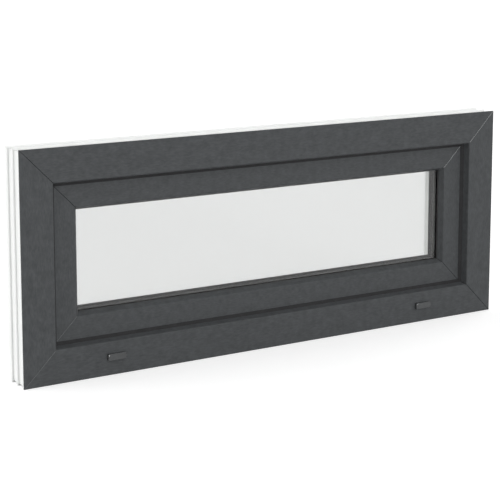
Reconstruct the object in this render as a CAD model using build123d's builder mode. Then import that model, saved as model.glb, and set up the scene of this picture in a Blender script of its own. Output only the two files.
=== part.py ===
"""Bottom-hung basement window: white multi-chamber PVC frame and sash, anthracite outside.

Millimetres. X runs along the window, seen from outside it grows to the right. The outside
faces -Y, +Z is up, and the origin is the middle of the frame's underside.
Every section is drawn once: x is the distance in from the window's outer edge and y is the
depth behind the outside face of the frame. The four mitred lengths share that section.
"""

import os
from math import hypot

from build123d import *

os.makedirs("parts", exist_ok=True)

# Window and frame profile
window_width = 1000.0
window_height = 400.0
frame_depth = 60.0
frame_inner_height = 42.0
leg_height = 17.0
frame_leg = 13.0
leg_rise = 3.5
trough_width = 16.0
trough_drop = 3.0
rib_height = 3.5
lip_width = 5.0
mid_rib = 4.0
rear_rib = 9.0
profile_wall = 2.8
chamber_web = 1.5
steel_chamber = 25.0
foil = 0.5
foil_wrap = 2.5
outer_radius = 1.5
face_radius = 2.5
room_radius = 2.0

# Sash profile
sash_setback = 18.0
sash_depth = 60.0
rebate_gap = 12.0
sash_lap = 8.0
flange_gap = 3.0
sash_face = 52.0
bevel_rise = 6.0
bevel_depth = 10.0
glass_rebate = 18.0
gear_groove_width = 12.0
gear_groove_depth = 9.0
gear_groove_setback = 7.0
bead_groove = 3.0
bead_foot = 4.0
groove_lip = 4.0
sash_radius = 2.0
flange_radius = 3.0

# Glazing
pane = 4.0
cavity = 16.0
outer_seal = 4.0
inner_seal = 3.0
pane_clearance = 5.0
spacer_height = 7.0
spacer_show = 0.5
spacer_wall = 1.0
bead_setback = 1.0
bead_taper = 1.0
bead_radius = 5.0
bead_wall = 1.6

# Rubber seals
seal_lip = 4.0
seal_edge = 0.6
seal_slope = 3.0
flange_seal_inset = 1.5
pane_cover = 4.0
inner_lip = 3.5

# Drain caps on the bottom rail
cap_width = 35.0
cap_height = 12.0
cap_depth = 6.0
cap_wall = 1.4
cap_corner = 3.0
cap_edge = 1.0
cap_inset = 170.0
cap_drop = 6.5
slot_width = 24.0
slot_height = 5.0
slot_corner = 1.0
slot_play = 0.5

# Handle and hinges on the room side
handle_backset = 15.0
base_length = 64.0
base_width = 28.0
base_depth = 9.0
base_edge = 2.5
neck_radius = 8.0
neck_length = 22.0
lever_length = 112.0
lever_width = 20.0
lever_tip = 16.0
lever_depth = 11.0
lever_edge = 3.0
hinge_inset = 150.0
hinge_length = 56.0
hinge_leaf = 3.0
hinge_leaf_height = 28.0
hinge_corner = 4.0
hinge_foot = 4.0
knuckle_radius = 6.0
knuckle_drop = 0.5
pin_radius = 3.0
pin_head = 1.5
pin_play = 0.05
hinge_play = 0.3

half_width = window_width / 2
front = -frame_depth / 2
frame_face = frame_inner_height + leg_height
sash_edge = frame_inner_height + rebate_gap
sight = sash_edge + sash_face
glass_sight = sight + bevel_rise
glass_floor = glass_sight - glass_rebate
flange_edge = frame_inner_height - sash_lap
room_face = sash_setback + sash_depth
outer_glass = sash_setback + bevel_depth + outer_seal
inner_glass = outer_glass + 2 * pane + cavity
bead_back = inner_glass + inner_seal
bead_front = room_face - bead_setback
pane_edge = glass_floor + pane_clearance

SIDES = {
    "bottom": (Plane((half_width, front, 0), (0, 0, 1), (-1, 0, 0)), window_width),
    "top": (Plane((-half_width, front, window_height), (0, 0, -1), (1, 0, 0)), window_width),
    "left": (Plane((-half_width, front, 0), (1, 0, 0), (0, 0, 1)), window_height),
    "right": (Plane((half_width, front, window_height), (-1, 0, 0), (0, 0, -1)), window_height),
}


def inner_line(face_end, level, rise, depth):
    """The two ends of a foiled slope's inner side, one foil thickness in."""
    inset = foil * hypot(rise, depth) / depth
    return (face_end - inset + rise * foil / depth, level + foil), (
        face_end + rise - inset,
        level + depth,
    )


def corner(section, x, y):
    return section.vertices().sort_by_distance((x, y))[0]


def foil_section(start, face_end, level, rise, depth, radius):
    """Thin skin round the outer edge of a profile, over its face and down the slope beyond."""
    near, far = inner_line(face_end, level, rise, depth)
    with BuildSketch() as section:
        with BuildLine():
            Polyline(
                (start, level + foil_wrap),
                (start, level),
                (face_end, level),
                (face_end + rise, level + depth),
                far,
                near,
                (start + foil, level + foil),
                (start + foil, level + foil_wrap),
                close=True,
            )
        make_face()
        fillet(corner(section, face_end, level), radius)
        fillet(corner(section, *near), radius - foil)
        fillet(corner(section, start, level), outer_radius)
        fillet(corner(section, start + foil, level + foil), outer_radius - foil)
    return section.sketch


def mitred(section, side):
    """One length of a section along a side of the window, cut at 45 degrees both ends."""
    plane, length = SIDES[side]
    far_end = plane.origin + plane.z_dir * length
    with BuildPart() as piece:
        with BuildSketch(plane):
            add(section)
        extrude(amount=length)
        split(bisect_by=Plane(plane.origin, z_dir=plane.z_dir - plane.x_dir))
        split(bisect_by=Plane(far_end, z_dir=-plane.z_dir - plane.x_dir))
    return piece.part


def ring(section):
    """A section carried round all four sides as one closed loop."""
    with BuildPart() as loop:
        for side in SIDES:
            add(mitred(section, side))
    return loop.part


def write(part, node):
    part.label = node
    export_step(part, f"parts/{node}.step")


# Frame profile: outside leg, drained rebate, chambers, ribs on the wall side
leg_near, leg_far = inner_line(frame_face, 0, leg_rise, frame_leg)
trough = frame_inner_height - trough_drop
trough_end = frame_leg + trough_width
mid = frame_depth / 2
body_low = rib_height + profile_wall
body_high = trough - profile_wall
steel_end = frame_leg + steel_chamber + chamber_web
skin = foil + profile_wall
frame_chambers = [
    (body_low, body_high, skin, frame_leg - chamber_web),
    (body_low, body_high, frame_leg, steel_end - chamber_web),
    (body_low, body_high, steel_end, frame_depth - profile_wall),
    (trough, frame_face - profile_wall, skin, frame_leg - profile_wall),
]
with BuildSketch() as frame_section:
    with BuildLine():
        Polyline(
            (foil, foil),
            leg_near,
            leg_far,
            (trough, frame_leg),
            (trough, trough_end),
            (frame_inner_height, trough_end + trough_drop),
            (frame_inner_height, frame_depth),
            (0, frame_depth),
            (0, frame_depth - rear_rib),
            (rib_height, frame_depth - rear_rib),
            (rib_height, mid + mid_rib / 2),
            (0, mid + mid_rib / 2),
            (0, mid - mid_rib / 2),
            (rib_height, mid - mid_rib / 2),
            (rib_height, lip_width),
            (0, lip_width),
            (0, foil_wrap),
            (foil, foil_wrap),
            close=True,
        )
    make_face()
    fillet(corner(frame_section, *leg_near), face_radius - foil)
    fillet(corner(frame_section, foil, foil), outer_radius - foil)
    fillet(corner(frame_section, frame_inner_height, frame_depth), room_radius)
    for low, high, start, end in frame_chambers:
        with Locations(((low + high) / 2, (start + end) / 2)):
            Rectangle(high - low, end - start, mode=Mode.SUBTRACT)

frame_foil = foil_section(0, frame_face, 0, leg_rise, frame_leg, face_radius)

# Drain slots through the outside wall of the bottom rail
slot_x = half_width - cap_inset
cap_level = trough - cap_drop
slot_plane = Plane((0, front, cap_level), (1, 0, 0), (0, -1, 0))
with BuildPart() as drain_slots:
    with BuildSketch(slot_plane):
        with Locations((-slot_x, 0), (slot_x, 0)):
            RectangleRounded(slot_width, slot_height, slot_corner)
    extrude(amount=-(skin + chamber_web))

for side in SIDES:
    with BuildPart() as frame_member:
        add(mitred(frame_section.sketch, side))
        if side == "bottom":
            add(drain_slots.part, mode=Mode.SUBTRACT)
    write(frame_member.part, f"frame_{side}")
    with BuildPart() as frame_skin:
        add(mitred(frame_foil, side))
        if side == "bottom":
            add(drain_slots.part, mode=Mode.SUBTRACT)
    write(frame_skin.part, f"frame_foil_{side}")

# Sash profile: bevelled glazing leg, glass rebate with bead groove, flange over the frame,
# groove for the locking gear in the edge that faces the frame
bevel_near, bevel_far = inner_line(sight, sash_setback, bevel_rise, bevel_depth)
flange_back = frame_depth + flange_gap
leg_back = sash_setback + bevel_depth
groove_end = bead_front - groove_lip
gear_back = flange_back - gear_groove_setback
gear_front = gear_back - gear_groove_width
gear_floor = sash_edge + gear_groove_depth
sash_low = sash_edge + profile_wall
sash_high = glass_floor - bead_groove - profile_wall
sash_skin = sash_setback + skin
sash_steel = gear_back + profile_wall - chamber_web
sash_chambers = [
    (sash_low, sash_high, sash_skin, leg_back),
    (gear_floor + profile_wall, sash_high, leg_back + chamber_web, sash_steel),
    (sash_low, sash_high, sash_steel + chamber_web, room_face - profile_wall),
    (flange_edge + profile_wall, sash_low - chamber_web, flange_back + profile_wall,
     room_face - profile_wall),
    (sash_high + chamber_web, sight - profile_wall, sash_skin, leg_back - profile_wall),
]
with BuildSketch() as sash_section:
    with BuildLine():
        Polyline(
            (sash_edge + foil, sash_setback + foil),
            bevel_near,
            bevel_far,
            (glass_floor, leg_back),
            (glass_floor, groove_end - bead_foot),
            (glass_floor - bead_groove, groove_end - bead_foot),
            (glass_floor - bead_groove, groove_end),
            (glass_floor, groove_end),
            (glass_floor, room_face),
            (flange_edge, room_face),
            (flange_edge, flange_back),
            (sash_edge, flange_back),
            (sash_edge, gear_back),
            (gear_floor, gear_back),
            (gear_floor, gear_front),
            (sash_edge, gear_front),
            (sash_edge, sash_setback + foil_wrap),
            (sash_edge + foil, sash_setback + foil_wrap),
            close=True,
        )
    make_face()
    fillet(corner(sash_section, *bevel_near), sash_radius - foil)
    fillet(corner(sash_section, sash_edge + foil, sash_setback + foil), outer_radius - foil)
    fillet(corner(sash_section, flange_edge, room_face), flange_radius)
    for low, high, start, end in sash_chambers:
        with Locations(((low + high) / 2, (start + end) / 2)):
            Rectangle(high - low, end - start, mode=Mode.SUBTRACT)

sash_foil = foil_section(sash_edge, sight, sash_setback, bevel_rise, bevel_depth, sash_radius)

# Glazing bead: hollow, snapped into the sash groove by its foot
bead_top = glass_sight
with BuildSketch() as bead_section:
    with BuildLine():
        Polyline(
            (glass_floor, bead_back),
            (bead_top, bead_back),
            (bead_top - bead_taper, bead_front),
            (glass_floor, bead_front),
            close=True,
        )
    make_face()
    fillet(corner(bead_section, bead_top - bead_taper, bead_front), bead_radius)
    with Locations(((glass_floor + bead_top - bead_radius) / 2, (bead_back + bead_front) / 2)):
        Rectangle(
            bead_top - bead_radius - glass_floor - 2 * bead_wall,
            bead_front - bead_back - 2 * bead_wall,
            mode=Mode.SUBTRACT,
        )
    with Locations((glass_floor - bead_groove / 2, groove_end - bead_foot / 2)):
        Rectangle(bead_groove, bead_foot)

for side in SIDES:
    write(mitred(sash_section.sketch, side), f"sash_{side}")
    write(mitred(sash_foil, side), f"sash_foil_{side}")
    write(mitred(bead_section.sketch, side), f"glazing_bead_{side}")


def strip(*points):
    with BuildSketch() as section:
        with BuildLine():
            Polyline(*points, close=True)
        make_face()
    return section.sketch


# Rubber seals: frame leg to sash, frame to sash flange, and both sides of the glass
leg_tip = frame_face + leg_rise
frame_seal = strip(
    (sash_edge, frame_leg),
    (leg_far[0], frame_leg),
    (leg_tip + seal_lip, sash_setback - seal_edge),
    (leg_tip + seal_lip - seal_edge, sash_setback),
    (sash_edge + seal_slope, sash_setback),
)
flange_seal = strip(
    (flange_edge + flange_seal_inset, frame_depth),
    (frame_inner_height - flange_seal_inset, frame_depth),
    (frame_inner_height - flange_seal_inset - seal_edge, flange_back),
    (flange_edge + flange_seal_inset - seal_edge, flange_back),
)
outer_glazing_seal = strip(
    (pane_edge + pane_cover, leg_back),
    (bevel_far[0], leg_back),
    (glass_sight + seal_edge, outer_glass - seal_edge),
    (glass_sight, outer_glass),
    (pane_edge + pane_cover, outer_glass),
)
inner_glazing_seal = strip(
    (pane_edge + pane_cover, inner_glass),
    (bead_top + inner_lip, inner_glass),
    (bead_top + inner_lip + seal_edge, inner_glass + seal_edge),
    (bead_top, bead_back),
    (pane_edge + pane_cover, bead_back),
)
write(ring(frame_seal), "frame_seal")
write(ring(flange_seal), "flange_seal")
write(ring(outer_glazing_seal), "outer_glazing_seal")
write(ring(inner_glazing_seal), "inner_glazing_seal")

# Sealed double glazing: two panes and a hollow spacer bar round the cavity
for node, depth in (("outer_pane", outer_glass), ("inner_pane", inner_glass - pane)):
    with BuildPart() as glass:
        with BuildSketch(Plane((0, front + depth, window_height / 2), (1, 0, 0), (0, -1, 0))):
            Rectangle(window_width - 2 * pane_edge, window_height - 2 * pane_edge)
        extrude(amount=-pane)
    write(glass.part, node)

spacer_low = glass_sight + spacer_show - spacer_height
with BuildSketch() as spacer_section:
    with Locations((spacer_low + spacer_height / 2, outer_glass + pane + cavity / 2)):
        Rectangle(spacer_height, cavity)
        Rectangle(spacer_height - 2 * spacer_wall, cavity - 2 * spacer_wall, mode=Mode.SUBTRACT)
write(ring(spacer_section.sketch), "spacer_bar")

# Drain caps: hood open underneath, tongue pushed into the slot
hood = cap_depth - cap_wall
for name, x in (("left", -slot_x), ("right", slot_x)):
    face_plane = Plane((x, front, cap_level), (1, 0, 0), (0, -1, 0))
    with BuildPart() as drain_cap:
        with BuildSketch(face_plane):
            RectangleRounded(cap_width, cap_height, cap_corner)
        extrude(amount=cap_depth)
        chamfer(drain_cap.faces().sort_by(Axis.Y)[0].edges(), cap_edge)
        with BuildSketch(face_plane):
            with Locations((0, -cap_wall)):
                Rectangle(cap_width - 2 * cap_corner, cap_height)
        extrude(amount=hood, mode=Mode.SUBTRACT)
        with BuildSketch(face_plane.offset(hood)):
            with Locations((0, (slot_height - cap_wall) / 2 - slot_play)):
                Rectangle(slot_width - 2 * slot_play, cap_wall)
        extrude(amount=-(hood + skin))
    write(drain_cap.part, f"drain_cap_{name}")

# Handle on the top rail, lever lying along the rail when shut
room = front + room_face
handle_z = window_height - sash_edge - handle_backset
with BuildPart() as handle_base:
    with BuildSketch(Plane((0, room, handle_z), (-1, 0, 0), (0, 1, 0))):
        SlotOverall(base_length, base_width)
    extrude(amount=base_depth)
    chamfer(handle_base.faces().sort_by(Axis.Y)[-1].edges(), base_edge)
write(handle_base.part, "handle_base")

neck_plane = Plane((0, room + base_depth, handle_z), (-1, 0, 0), (0, 1, 0))
with BuildPart() as handle_lever:
    with BuildSketch(neck_plane.offset(neck_length)):
        Circle(lever_width / 2)
        with Locations((lever_length, 0)):
            Circle(lever_tip / 2)
        make_hull()
    extrude(amount=lever_depth)
    chamfer(handle_lever.faces().sort_by(Axis.Y)[-1].edges(), lever_edge)
    with BuildSketch(neck_plane):
        Circle(neck_radius)
    extrude(amount=neck_length)
write(handle_lever.part, "handle_lever")

# Hinges along the foot of the sash: leaf on the frame, leaf on the sash, pin
axis_z = flange_edge - knuckle_radius - knuckle_drop
axis_y = room + hinge_leaf - knuckle_radius
leaf_back = front + frame_depth - axis_y
mid_length = hinge_length / 2
end_length = (hinge_length - mid_length) / 2
for name, x in (("left", -(half_width - hinge_inset)), ("right", half_width - hinge_inset)):
    end_plane = Plane((x - hinge_length / 2, axis_y, axis_z), (0, 1, 0), (1, 0, 0))
    far_plane = end_plane.offset(end_length + mid_length + hinge_play)
    with BuildPart() as frame_leaf:
        for plane in (end_plane, far_plane):
            with BuildSketch(plane):
                Circle(knuckle_radius)
                with Locations((leaf_back / 2, -knuckle_radius / 2)):
                    Rectangle(-leaf_back, knuckle_radius)
                Circle(pin_radius + pin_play, mode=Mode.SUBTRACT)
            extrude(amount=end_length - hinge_play)
        with BuildSketch(end_plane):
            with Locations((leaf_back + hinge_leaf / 2, (hinge_foot - axis_z) / 2)):
                Rectangle(hinge_leaf, axis_z - hinge_foot)
        extrude(amount=hinge_length)
    write(frame_leaf.part, f"hinge_frame_leaf_{name}")
    leaf_z = flange_edge + flange_radius + hinge_leaf_height / 2
    with BuildPart() as sash_leaf:
        with BuildSketch(end_plane.offset(end_length)):
            Circle(knuckle_radius)
            with Locations((knuckle_radius - hinge_leaf / 2, (leaf_z - axis_z) / 2)):
                Rectangle(hinge_leaf, leaf_z - axis_z)
            Circle(pin_radius + pin_play, mode=Mode.SUBTRACT)
        extrude(amount=mid_length)
        with BuildSketch(Plane((x, room, leaf_z), (-1, 0, 0), (0, 1, 0))):
            RectangleRounded(hinge_length, hinge_leaf_height, hinge_corner)
        extrude(amount=hinge_leaf)
    write(sash_leaf.part, f"hinge_sash_leaf_{name}")
    with BuildPart() as hinge_pin:
        with BuildSketch(end_plane.offset(-pin_head)):
            Circle(pin_radius + pin_head)
        extrude(amount=pin_head)
        with BuildSketch(end_plane):
            Circle(pin_radius)
        extrude(amount=hinge_length + pin_head)
    write(hinge_pin.part, f"hinge_pin_{name}")
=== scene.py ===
# %% [markdown]
# # A basement window, dressed in Blender
# The solids of the window are already there: a mitred frame and sash in white PVC with a
# thin anthracite skin outside, double glazing, rubber seals, drain caps, a handle and two
# hinges. This lesson gives each piece the soft edges, joints and finish of the real one.

from math import copysign, radians

import bmesh
import bpy
from mathutils import Matrix, Vector


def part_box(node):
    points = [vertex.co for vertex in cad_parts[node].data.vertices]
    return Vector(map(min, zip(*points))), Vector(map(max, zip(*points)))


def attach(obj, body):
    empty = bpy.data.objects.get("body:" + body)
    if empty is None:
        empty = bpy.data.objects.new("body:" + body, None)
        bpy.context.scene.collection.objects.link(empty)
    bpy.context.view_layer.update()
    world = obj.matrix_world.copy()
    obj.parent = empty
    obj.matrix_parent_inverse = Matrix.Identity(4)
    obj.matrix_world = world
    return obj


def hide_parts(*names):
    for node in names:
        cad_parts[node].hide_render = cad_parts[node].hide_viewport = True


MM = 0.001
WHITE = (1, 1, 1, 1)
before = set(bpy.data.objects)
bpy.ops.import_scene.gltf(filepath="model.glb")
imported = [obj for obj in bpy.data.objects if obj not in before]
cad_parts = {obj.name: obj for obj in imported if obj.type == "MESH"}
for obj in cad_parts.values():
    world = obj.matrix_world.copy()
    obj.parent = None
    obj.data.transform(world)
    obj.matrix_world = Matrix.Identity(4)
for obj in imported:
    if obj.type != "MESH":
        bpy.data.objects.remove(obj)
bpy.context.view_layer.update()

# %% [markdown]
# ## Finishes
# No real surface is even. A painted or moulded one could be a flat colour, but it would
# look like a drawing. So each finish is one Principled shader whose colour is varied by two
# noises on Object coordinates: soft clouds, and finer streaks that can be stretched into
# grain. The streaks also give a little relief.

# %% Helpers for a finish with clouds and streaks
NOISE_LOW, NOISE_HIGH = 0.3, 0.7
CLOUD_DETAIL, STREAK_DETAIL = 4.0, 3.0
RELIEF_HEIGHT = 0.2 * MM
FINE = (300.0, 300.0, 300.0)


def varied(nodes, links, noise, amount):
    """Turn a noise into a factor around one."""
    span = nodes.new("ShaderNodeMapRange")
    span.inputs["From Min"].default_value = NOISE_LOW
    span.inputs["From Max"].default_value = NOISE_HIGH
    span.inputs["To Min"].default_value = 1 - amount
    span.inputs["To Max"].default_value = 1 + amount
    links.new(noise.outputs["Fac"], span.inputs["Value"])
    return span.outputs["Result"]


def finish(name, colour, roughness, clouds=0.03, cloud_scale=20.0, streaks=0.02,
           streak_scale=FINE, relief=0.0, metallic=0.0, specular=0.5):
    material = bpy.data.materials.new(name)
    material.use_nodes = True
    nodes, links = material.node_tree.nodes, material.node_tree.links
    shader = nodes["Principled BSDF"]
    shader.inputs["Roughness"].default_value = roughness
    shader.inputs["Metallic"].default_value = metallic
    shader.inputs["Specular IOR Level"].default_value = specular
    place = nodes.new("ShaderNodeTexCoord")
    cloud = nodes.new("ShaderNodeTexNoise")
    cloud.inputs["Scale"].default_value = cloud_scale
    cloud.inputs["Detail"].default_value = CLOUD_DETAIL
    links.new(place.outputs["Object"], cloud.inputs["Vector"])
    stretch = nodes.new("ShaderNodeMapping")
    stretch.inputs["Scale"].default_value = streak_scale
    links.new(place.outputs["Object"], stretch.inputs["Vector"])
    streak = nodes.new("ShaderNodeTexNoise")
    streak.inputs["Scale"].default_value = 1.0
    streak.inputs["Detail"].default_value = STREAK_DETAIL
    links.new(stretch.outputs["Vector"], streak.inputs["Vector"])
    both = nodes.new("ShaderNodeMath")
    both.operation = "MULTIPLY"
    links.new(varied(nodes, links, cloud, clouds), both.inputs[0])
    links.new(varied(nodes, links, streak, streaks), both.inputs[1])
    tint = nodes.new("ShaderNodeVectorMath")
    tint.operation = "SCALE"
    tint.inputs[0].default_value = colour
    links.new(both.outputs["Value"], tint.inputs["Scale"])
    links.new(tint.outputs["Vector"], shader.inputs["Base Color"])
    if relief:
        bump = nodes.new("ShaderNodeBump")
        bump.inputs["Strength"].default_value = relief
        bump.inputs["Distance"].default_value = RELIEF_HEIGHT
        links.new(streak.outputs["Fac"], bump.inputs["Height"])
        links.new(bump.outputs["Normal"], shader.inputs["Normal"])
    return material


# %% [markdown]
# The anthracite skin is embossed with a grain along each profile. One pattern could be
# turned by a node, but two finishes with the stretch along X or along Z are plainer to read.
# There are two rubbers as well: the seals that the sash shuts on lie deep in a gap, and their
# copy of the rubber is darker, as painted shade. Those beside the glass keep the plain rubber.

# %% The finishes of this window
ANTHRACITE = (0.068, 0.0718, 0.0748)
ALONG, ACROSS = 130.0, 420.0
SKIN = {"roughness": 0.45, "clouds": 0.1, "cloud_scale": 75.0, "streaks": 0.12,
        "relief": 0.3, "specular": 0.15}
DULL = {"clouds": 0.1, "cloud_scale": 60.0}
RUBBER = {"clouds": 0.15, "cloud_scale": 60.0, "streaks": 0.1}
rail_skin = finish("anthracite_rail", ANTHRACITE, streak_scale=(ALONG, ACROSS, ACROSS), **SKIN)
jamb_skin = finish("anthracite_jamb", ANTHRACITE, streak_scale=(ACROSS, ACROSS, ALONG), **SKIN)
# The dark seam paint is a dark joint, and also painted shade at the two corners that face away
# from the light.
dark_joint_shade_seam = finish("dark_seam_joint_and_painted_shade", (0.012, 0.012, 0.013), 0.7, specular=0.1, **DULL)
# The faint and pale seam paints are painted highlights, where the light catches two of the
# milled seams.
faint_highlight_seam = finish("faint_seam_painted_highlight", (0.18, 0.185, 0.187), 0.6, specular=0.2, **DULL)
pale_highlight_seam = finish("pale_seam_painted_highlight", (0.5, 0.51, 0.51), 0.5, **DULL)
white_pvc = finish("white_pvc", (0.86, 0.87, 0.86), 0.35, clouds=0.012, cloud_scale=12.0,
                   streaks=0.008, streak_scale=(120.0, 500.0, 500.0), relief=0.04)
rubber = finish("black_rubber", (0.042, 0.042, 0.043), 0.6, **RUBBER)
# The same rubber made darker: painted shade for the seals deep in the gap.
shaded_rubber = finish("black_rubber_painted_shade", (0.021, 0.021, 0.022), 0.7, specular=0.25, **RUBBER)
butyl = finish("black_butyl", (0.012, 0.012, 0.012), 0.6, specular=0.1, **DULL)
spacer_grey = finish("spacer_grey", (0.065, 0.065, 0.063), 0.6, clouds=0.06, cloud_scale=40.0,
                     streaks=0.5, streak_scale=(6.0, 420.0, 6.0), relief=0.05, specular=0.05)
cap_plastic = finish("anthracite_plastic", (0.056, 0.059, 0.061), 0.2, clouds=0.06,
                     cloud_scale=90.0, streaks=0.06)
lacquer = finish("white_lacquer", (0.85, 0.86, 0.85), 0.3, clouds=0.012, cloud_scale=40.0,
                 streaks=0.006)
steel = finish("pin_steel", (0.5, 0.5, 0.5), 0.35, clouds=0.05, cloud_scale=200.0,
               streaks=0.06, metallic=1.0)
print("materials so far", len(bpy.data.materials))

# %% [markdown]
# Clear glass takes a little light away. The loss is written in the base colour, which light
# meets once in each pane.

# %% Glass
GLASS_TINT, GLASS_IOR, GLASS_GLOSS = (0.8, 0.805, 0.802, 1), 1.5, 0.15
glass = bpy.data.materials.new("clear_glass")
glass.use_nodes = True
glass_shader = glass.node_tree.nodes["Principled BSDF"]
glass_shader.inputs["Base Color"].default_value = GLASS_TINT
glass_shader.inputs["Roughness"].default_value = 0.0
glass_shader.inputs["IOR"].default_value = GLASS_IOR
glass_shader.inputs["Specular IOR Level"].default_value = GLASS_GLOSS
glass_shader.inputs["Transmission Weight"].default_value = 1.0
print("materials with glass", len(bpy.data.materials))

# %% [markdown]
# ## Soft edges
# An extruded profile never has a knife edge. A bevel modifier would do, but it would also
# round the many flat triangles of a CAD mesh. So a copy of a solid is merged, its flat faces
# are joined, and only its sharp edges are bevelled. The copy then stands for the solid.

# %% Helpers that soften a copy of a solid
MERGE_DISTANCE, SLIVER = 0.01 * MM, 0.005 * MM
FLAT_ANGLE, SHARP_ANGLE, CREASE = 1, 28, 32
FULL_WEIGHT = 100


def merged_copy(node):
    shape = bmesh.new()
    shape.from_mesh(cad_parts[node].data)
    bmesh.ops.remove_doubles(shape, verts=shape.verts, dist=MERGE_DISTANCE)
    bmesh.ops.dissolve_limit(shape, angle_limit=radians(FLAT_ANGLE), verts=shape.verts,
                             edges=shape.edges)
    return shape


def soften(shape, width, segments=2):
    sharp = [e for e in shape.edges
             if e.is_manifold and e.calc_face_angle(0) > radians(SHARP_ANGLE)]
    bmesh.ops.bevel(shape, geom=sharp, offset=width, offset_type="OFFSET", segments=segments,
                    profile=0.5, affect="EDGES", clamp_overlap=True, material=-1)


def piece(name, shape, material, slot, *nodes, crease=CREASE):
    bmesh.ops.dissolve_degenerate(shape, dist=SLIVER, edges=shape.edges)
    mesh = bpy.data.meshes.new(name)
    shape.to_mesh(mesh)
    shape.free()
    mesh.materials.append(material)
    mesh.shade_smooth()
    mesh.set_sharp_from_angle(angle=radians(crease))
    made = bpy.data.objects.new(name, mesh)
    bpy.context.scene.collection.objects.link(made)
    even = made.modifiers.new("even_shading", "WEIGHTED_NORMAL")
    even.weight = FULL_WEIGHT
    even.keep_sharp = True
    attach(made, "root")
    if nodes:
        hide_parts(*nodes)
    return made


# %% [markdown]
# ## White profiles and beads
# On the room side the welded corners show as fine grooves. They could be cut, but the bevel
# on the mitred ends of two neighbours makes the groove by itself.

# %% Frame, sash and beads
SIDES = ("top", "bottom", "left", "right")
WHITE_EDGES = {"frame": 0.6 * MM, "sash": 0.6 * MM, "glazing_bead": 0.4 * MM}
for part, width in WHITE_EDGES.items():
    for side in SIDES:
        shape = merged_copy(f"{part}_{side}")
        soften(shape, width)
        piece(f"{part}_{side}_profile", shape, white_pvc, "white_pvc", f"{part}_{side}")
print("white lengths", len(WHITE_EDGES) * len(SIDES))

# %% [markdown]
# ## Anthracite skin and weld seams
# Profiles with a coloured skin are welded at the mitre, and the weld is milled out as a
# shallow V and touched up with dark paint. The two corners that face away from the light
# keep that dark joint, which also paints their shade; at the other two the bottom of the V
# is a painted highlight, pale at one and faint at the other. A painted line on a flat corner
# would have no depth, so the flanks are cut into the strips with tilted planes. The rail is
# also cut back by a hair, and the sliver that falls off is sunk to make the painted bottom of
# the V.

# %% Corners of the window and the mitre planes
SEAM_HALF = 1.1 * MM
SEAM_DEPTH = 0.42 * MM
CUT_TOLERANCE = 0.001 * MM
INWARD = Vector((0, 1, 0))
low, high = Vector(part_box("frame_bottom")[0]), Vector(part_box("frame_top")[1])
# Each corner: x, z, the way to its rail, the seam's paint with its painted shade or highlight,
# and the width of the painted bottom
CORNERS = {"bottom_left": (low.x, low.z, Vector((1, 0, -1)), faint_highlight_seam, 0.5 * MM),
           "bottom_right": (high.x, low.z, Vector((-1, 0, -1)), dark_joint_shade_seam, 1.0 * MM),
           "top_left": (low.x, high.z, Vector((1, 0, 1)), dark_joint_shade_seam, 0.8 * MM),
           "top_right": (high.x, high.z, Vector((-1, 0, 1)), pale_highlight_seam, 0.6 * MM)}
print("corners", {name: (x, z) for name, (x, z, *_) in CORNERS.items()})


def cut_off(shape, spot, normal):
    """Cut away what lies on the normal's side of a plane and close the cut."""
    bmesh.ops.bisect_plane(shape, geom=shape.verts[:] + shape.edges[:] + shape.faces[:],
                           plane_co=spot, plane_no=normal, dist=CUT_TOLERANCE,
                           clear_inner=False, clear_outer=True)
    bmesh.ops.holes_fill(shape, edges=[e for e in shape.edges if e.is_boundary])


# %% Skin strips and seams
SKIN_EDGE, SKIN_CREASE = 0.22 * MM, 18
for part in ("frame_foil", "sash_foil"):
    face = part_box(f"{part}_top")[0][1]
    for side in SIDES:
        is_rail = side in ("top", "bottom")
        strip = merged_copy(f"{part}_{side}")
        for corner, (x, z, to_rail, paint, gap) in CORNERS.items():
            if side not in corner:
                continue
            spot = Vector((x, face, z))
            towards = to_rail.normalized() if is_rail else -to_rail.normalized()
            if is_rail:
                sliver = strip.copy()
                cut_off(sliver, spot + towards * gap, towards)
                bmesh.ops.translate(sliver, verts=sliver.verts, vec=INWARD * SEAM_DEPTH)
                # Each seam's paint is its painted light: a dark joint with painted shade, or a
                # painted highlight.
                piece(f"{part}_seam_{corner}", sliver, paint, "anthracite_foil")
                cut_off(strip, spot + towards * gap, -towards)
            flank = -SEAM_DEPTH * towards - SEAM_HALF * INWARD
            cut_off(strip, spot + towards * SEAM_HALF, flank.normalized())
        soften(strip, SKIN_EDGE)
        skin = rail_skin if is_rail else jamb_skin
        piece(f"{part}_{side}_skin", strip, skin, "anthracite_foil", f"{part}_{side}",
              crease=SKIN_CREASE)
print("skin strips", 2 * len(SIDES), "seams", 2 * len(CORNERS))

# %% [markdown]
# ## Small parts
# Caps, handle and hinges are moulded or cast, so their edges are rounder than those of an
# extruded profile. The same helper does it with a wider bevel. Each cap also has a small
# flat at a corner of its face, where the moulding's gate was cut off. A bright dot could
# stand for it, but a real flat glints by itself, as long as it isn't shaded smooth with its
# neighbours. So the caps are creased at a lower angle.

# %% Caps, handle and hinges
GATE_NORMAL = Vector((-0.295, -0.933, 0.209)).normalized()
GATE_INSET, GATE_DEPTH = 1.4 * MM, 0.36 * MM
CAP_CREASE, ROUND_SEGMENTS = 16, 3
HINGES = ("left", "right")
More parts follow.
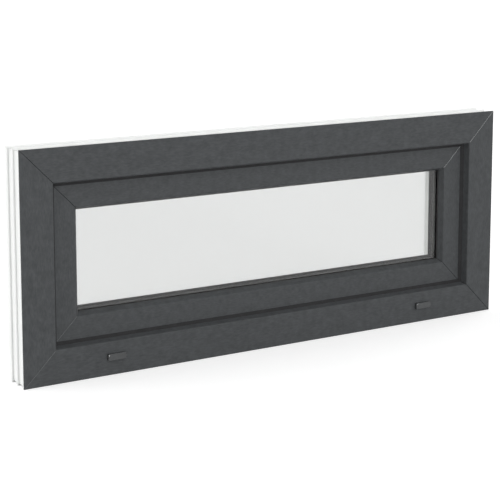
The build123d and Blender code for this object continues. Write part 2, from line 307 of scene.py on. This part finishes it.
# Each part: node, finish, slot and bevel in millimetres
SMALL = [("drain_cap_left", cap_plastic, "anthracite_plastic", 0.65),
         ("drain_cap_right", cap_plastic, "anthracite_plastic", 0.65),
         ("handle_base", lacquer, "white_lacquer", 0.8),
         ("handle_lever", lacquer, "white_lacquer", 0.7)]
for side in HINGES:
    SMALL.append((f"hinge_frame_leaf_{side}", lacquer, "white_lacquer", 0.5))
    SMALL.append((f"hinge_sash_leaf_{side}", lacquer, "white_lacquer", 0.5))
    SMALL.append((f"hinge_pin_{side}", steel, "pin_steel", 0.4))
for node, material, slot, width in SMALL:
    shape = merged_copy(node)
    soften(shape, width * MM, segments=ROUND_SEGMENTS)
    crease = CREASE
    if node.startswith("drain_cap"):
        crease = CAP_CREASE
        cap_low, cap_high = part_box(node)
        tip = Vector((cap_low[0] + GATE_INSET, cap_low[1], cap_high[2] - GATE_INSET))
        cut_off(shape, tip - GATE_NORMAL * GATE_DEPTH, GATE_NORMAL)
    piece(f"{node}_finished", shape, material, slot, node, crease=crease)
print("small parts", len(SMALL))

# %% [markdown]
# ## Screws and handle collar
# The hinge leaves are screwed on, and a collar covers the joint where the handle's neck
# turns in its base. A screw head could be a plain disc, but the hexagon in it is what the
# eye looks for. Two loops with different counts of vertices, a round rim and a hexagon, are
# bridged, and then both are extruded down.

# %% Helpers for a screw head
HEAD_RADIUS, HEAD_HEIGHT, HEAD_EDGE, HEAD_SIDES = 3.4 * MM, 1.1 * MM, 0.5 * MM, 24
SOCKET_RADIUS, SOCKET_DEPTH, SOCKET_SIDES = 1.6 * MM, 0.8 * MM, 6
TO_ROOM = Matrix.Rotation(radians(-90), 4, "X")


def only(kind, made):
    """Pick one kind of element out of what an operator made."""
    return [item for item in made["geom"] if isinstance(item, kind)]


def drop(shape, edges, depth):
    """Extrude a loop of edges downwards and close the hole at its end."""
    made = bmesh.ops.extrude_edge_only(shape, edges=edges)
    bmesh.ops.translate(shape, verts=only(bmesh.types.BMVert, made), vec=(0, 0, -depth))
    ends = [e for e in only(bmesh.types.BMEdge, made) if e.is_boundary]
    bmesh.ops.holes_fill(shape, edges=ends)


def screw_head(name, spot):
    head = bmesh.new()
    bmesh.ops.create_circle(head, cap_ends=False, radius=HEAD_RADIUS, segments=HEAD_SIDES)
    rim = head.edges[:]
    bmesh.ops.create_circle(head, cap_ends=False, radius=SOCKET_RADIUS,
                            segments=SOCKET_SIDES)
    socket = [e for e in head.edges if e not in rim]
    bmesh.ops.bridge_loops(head, edges=rim + socket)
    drop(head, rim, HEAD_HEIGHT)
    drop(head, socket, SOCKET_DEPTH)
    bmesh.ops.recalc_face_normals(head, faces=head.faces)
    bmesh.ops.bevel(head, geom=rim, offset=HEAD_EDGE, offset_type="OFFSET",
                    segments=ROUND_SEGMENTS, profile=0.5, affect="EDGES",
                    clamp_overlap=True, material=-1)
    bmesh.ops.transform(head, matrix=Matrix.Translation(spot) @ TO_ROOM, verts=head.verts)
    piece(name, head, steel, "pin_steel")


# %% Screw heads on the hinge leaves
SCREW_SPREAD, SCREW_EDGE, SCREW_ROW = 19 * MM, 7 * MM, 14 * MM
screws = 0
for side in HINGES:
    leaf_low, leaf_high = (Vector(v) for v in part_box(f"hinge_sash_leaf_{side}"))
    middle = (leaf_low.x + leaf_high.x) / 2
    upper_row = leaf_high.z - SCREW_EDGE
    for z in (upper_row, upper_row - SCREW_ROW):
        for x in (middle - SCREW_SPREAD, middle + SCREW_SPREAD):
            screws += 1
            screw_head(f"hinge_screw_{screws}", Vector((x, leaf_high.y + HEAD_HEIGHT, z)))
print("screws", screws)

# %% [markdown]
# The collar is a small rectangle of four vertices spun once round the neck. A full spin needs
# use_merge to close, and its normals are set afterwards because a spin can turn them.

# %% Collar round the handle's neck
NECK_RADIUS = 7.8 * MM
COLLAR_OUTER, COLLAR_HEIGHT = 11 * MM, 1.8 * MM
COLLAR_EDGE, COLLAR_STEPS = 0.5 * MM, 48
base_low, base_high = (Vector(v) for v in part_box("handle_base"))
neck_z = (base_low.z + base_high.z) / 2
collar_top = base_high.y + COLLAR_HEIGHT
collar = bmesh.new()
section = [collar.verts.new((r, y, neck_z))
           for r, y in ((NECK_RADIUS, base_high.y), (COLLAR_OUTER, base_high.y),
                        (COLLAR_OUTER, collar_top), (NECK_RADIUS, collar_top))]
loop = [collar.edges.new((section[i], section[i - 1])) for i in range(len(section))]
bmesh.ops.spin(collar, geom=section + loop, cent=(0, 0, neck_z), axis=(0, 1, 0),
               angle=radians(360), steps=COLLAR_STEPS, use_merge=True, use_duplicate=False)
bmesh.ops.remove_doubles(collar, verts=collar.verts, dist=MERGE_DISTANCE)
bmesh.ops.recalc_face_normals(collar, faces=collar.faces)
soften(collar, COLLAR_EDGE)
print("collar faces", len(collar.faces))
piece("handle_collar", collar, lacquer, "white_lacquer")

# %% [markdown]
# ## Glass, spacer and seals
# These solids have the right shape already and only take their finish. The frame seal is
# the exception: its lip is spread a little past the frame's leg and draws a thin black line
# there, in the darker rubber that paints the shade of the gap. The lip's vertices lie only at
# the four corners of the loop, so moving those moves the whole lip.

# %% Lip of the frame seal
LIP_SPREAD, LIP_ZONE = 1.1 * MM, 1.5 * MM
seal_low, seal_high = (Vector(v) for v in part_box("frame_seal"))
seal_middle = (seal_low + seal_high) / 2
seal = merged_copy("frame_seal")
opening = min(abs(v.co.x - seal_middle.x) for v in seal.verts)
lip = [v for v in seal.verts if abs(v.co.x - seal_middle.x) < opening + LIP_ZONE]
for vert in lip:
    vert.co.x -= copysign(LIP_SPREAD, vert.co.x - seal_middle.x)
    vert.co.z -= copysign(LIP_SPREAD, vert.co.z - seal_middle.z)
print("lip vertices", len(lip))
# The spread lip draws its black line in the darker rubber, which is painted shade.
piece("frame_seal_spread", seal, shaded_rubber, "black_rubber", "frame_seal")

# %% [markdown]
# A spacer bar is glued to each pane with black butyl, which shows as a line beside it. A
# dark band could be drawn by the material, but a thin raised strip has an edge of its own.
# It starts as a plate, which is inset, loses its middle and is drawn out to the line's width.

# %% Butyl lines beside the spacer bar
BAR_HEIGHT, BUTYL_SINK, BUTYL_RISE = 7.0 * MM, 0.3 * MM, 0.2 * MM
BUTYL_OUTER, BUTYL_INNER = 1.0 * MM, 4.0 * MM
bar_low, bar_high = (Vector(v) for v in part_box("spacer_bar"))
bar_size, bar_middle = bar_high - bar_low, (bar_low + bar_high) / 2


def butyl_line(name, start, width):
    line = bmesh.new()
    bmesh.ops.create_grid(line, x_segments=1, y_segments=1, size=0.5)
    sunk = 2 * (BAR_HEIGHT - BUTYL_SINK)
    bmesh.ops.scale(line, verts=line.verts, vec=(bar_size.x - sunk, bar_size.z - sunk, 1))
    plate = line.faces[:]
    bmesh.ops.inset_individual(line, faces=plate, thickness=BUTYL_SINK + BUTYL_RISE,
                               use_even_offset=True)
    bmesh.ops.delete(line, geom=plate, context="FACES")
    drawn = bmesh.ops.extrude_face_region(line, geom=line.faces[:])
    bmesh.ops.translate(line, verts=only(bmesh.types.BMVert, drawn), vec=(0, 0, width))
    spot = Matrix.Translation((bar_middle.x, start, bar_middle.z))
    bmesh.ops.transform(line, matrix=spot @ TO_ROOM, verts=line.verts)
    bmesh.ops.recalc_face_normals(line, faces=line.faces)
    print(name, "faces", len(line.faces))
    piece(name, line, butyl, "black_rubber")


butyl_line("spacer_butyl_outer", bar_low.y, BUTYL_OUTER)
butyl_line("spacer_butyl_inner", bar_high.y - BUTYL_INNER, BUTYL_INNER)

# %% [markdown]
# The panes, the spacer bar and the other seals keep their solids. Copies would do as well,
# but nothing on them needs a softer edge, so only their material is exchanged.

# %% Finishes on the solids that stay
KEPT = {"outer_pane": glass, "inner_pane": glass, "spacer_bar": spacer_grey,
        # The flange seal takes the darker rubber, painted shade for the gap it lies in.
        "flange_seal": shaded_rubber,
        "outer_glazing_seal": rubber, "inner_glazing_seal": rubber}
for node, material in KEPT.items():
    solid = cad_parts[node]
    solid.data.materials.clear()
    solid.data.materials.append(material)
print("kept", sorted(KEPT))

# %% [markdown]
# ## Floor, light and camera
# The floor is pale and plain. Seen directly, or in glass and metal, it glows a little so
# that it reads as white, and it still darkens where the window shades it. The same rays see
# a white world.

# %% Helper: one for rays that show the background, nought for rays that light the window


def background_ray(nodes, links):
    path = nodes.new("ShaderNodeLightPath")
    most = path.outputs["Is Camera Ray"]
    for kind in ("Is Transmission Ray", "Is Glossy Ray"):
        larger = nodes.new("ShaderNodeMath")
        larger.operation = "MAXIMUM"
        links.new(most, larger.inputs[0])
        links.new(path.outputs[kind], larger.inputs[1])
        most = larger.outputs["Value"]
    return most


# %% Floor
FLOOR_HALF, FLOOR_GREY, FLOOR_ROUGHNESS = 40.0, (0.6, 0.6, 0.6, 1), 0.9
FLOOR_GLOW = 0.58
pad = bmesh.new()
bmesh.ops.create_grid(pad, x_segments=1, y_segments=1, size=FLOOR_HALF)
floor_mesh = bpy.data.meshes.new("floor")
pad.to_mesh(floor_mesh)
pad.free()
floor = bpy.data.objects.new("floor", floor_mesh)
bpy.context.scene.collection.objects.link(floor)
paper = bpy.data.materials.new("white_paper")
paper.use_nodes = True
nodes, links = paper.node_tree.nodes, paper.node_tree.links
paper_shader = nodes["Principled BSDF"]
paper_shader.inputs["Base Color"].default_value = FLOOR_GREY
paper_shader.inputs["Roughness"].default_value = FLOOR_ROUGHNESS
paper_shader.inputs["Specular IOR Level"].default_value = 0.0
paper_shader.inputs["Emission Color"].default_value = WHITE
glow = nodes.new("ShaderNodeMath")
glow.operation = "MULTIPLY"
glow.inputs[1].default_value = FLOOR_GLOW
links.new(background_ray(nodes, links), glow.inputs[0])
links.new(glow.outputs["Value"], paper_shader.inputs["Emission Strength"])
floor_mesh.materials.append(paper)
print("floor", tuple(floor.dimensions))

# %% [markdown]
# An even sky, a little brighter behind the window, darkens the recesses by itself. A small
# key comes from the front, low enough to leave the ledges dark, and a weak overhead lamp
# shades the gap under the top rail. Two broad fills from behind light the white edges and
# the room side, and leave the outside recesses alone.

# %% World
SKY, REAR_SKY, REAR_FULL = 0.66, 0.75, 0.7
world = bpy.data.worlds.new("studio")
bpy.context.scene.world = world
world.use_nodes = True
nodes, links = world.node_tree.nodes, world.node_tree.links
sky = nodes["Background"]
sky.inputs["Color"].default_value = WHITE
around = nodes.new("ShaderNodeTexCoord")
axes = nodes.new("ShaderNodeSeparateXYZ")
links.new(around.outputs["Generated"], axes.inputs["Vector"])
rear = nodes.new("ShaderNodeMapRange")
rear.inputs["From Min"].default_value = 0.0
rear.inputs["From Max"].default_value = REAR_FULL
rear.inputs["To Min"].default_value = SKY
rear.inputs["To Max"].default_value = REAR_SKY
links.new(axes.outputs["Y"], rear.inputs["Value"])
links.new(rear.outputs["Result"], sky.inputs["Strength"])
backdrop = nodes.new("ShaderNodeBackground")
backdrop.inputs["Color"].default_value = WHITE
backdrop.inputs["Strength"].default_value = 1.0
mix = nodes.new("ShaderNodeMixShader")
links.new(background_ray(nodes, links), mix.inputs["Fac"])
links.new(sky.outputs["Background"], mix.inputs[1])
links.new(backdrop.outputs["Background"], mix.inputs[2])
links.new(mix.outputs["Shader"], nodes["World Output"].inputs["Surface"])
print("sky", SKY, "behind", REAR_SKY)

# %% Lamps: strength, where the light comes from, and how wide it looks in degrees
LAMPS = {"key": (0.9, (-0.15, -2.6, 0.38), 10),
         "overhead": (0.2, (0.0, -2.0, 1.8), 8),
         "fill_left": (1.6, (-2.6, 1.0, 0.8), 40),
         "fill_right": (1.1, (2.6, 1.0, 0.8), 40)}
for name, (energy, spot, spread) in LAMPS.items():
    lamp = bpy.data.lights.new(name, "SUN")
    lamp.energy = energy
    lamp.angle = radians(spread)
    sun = bpy.data.objects.new(name, lamp)
    sun.location = spot
    sun.rotation_euler = (-Vector(spot)).to_track_quat("-Z", "Y").to_euler()
    bpy.context.scene.collection.objects.link(sun)
print("lamps", sorted(LAMPS))

# %% [markdown]
# The camera stands to the left, above the window, as in the photograph. It is tipped down,
# with a little lens shift so that the jambs stay close to upright.

# %% Camera
LENS, SENSOR, SHIFT = 107.65, 36, -0.2
VIEWPOINT, TIPPED, TURNED = (-1.4375, -2.2508, 0.7557), 8.475, -31.778
view_data = bpy.data.cameras.new("camera")
view_data.lens = LENS
view_data.sensor_width = SENSOR
view_data.shift_y = SHIFT
camera = bpy.data.objects.new("camera", view_data)
camera.location = VIEWPOINT
camera.rotation_euler = (radians(90 - TIPPED), 0, radians(TURNED))
bpy.context.scene.collection.objects.link(camera)
bpy.context.scene.camera = camera
bpy.context.scene.view_settings.view_transform = "Standard"
print("camera", VIEWPOINT, "lens", LENS)

# %% [markdown]
# Last, the view layer is brought up to date.

# %% Bring the view layer up to date
bpy.context.view_layer.update()
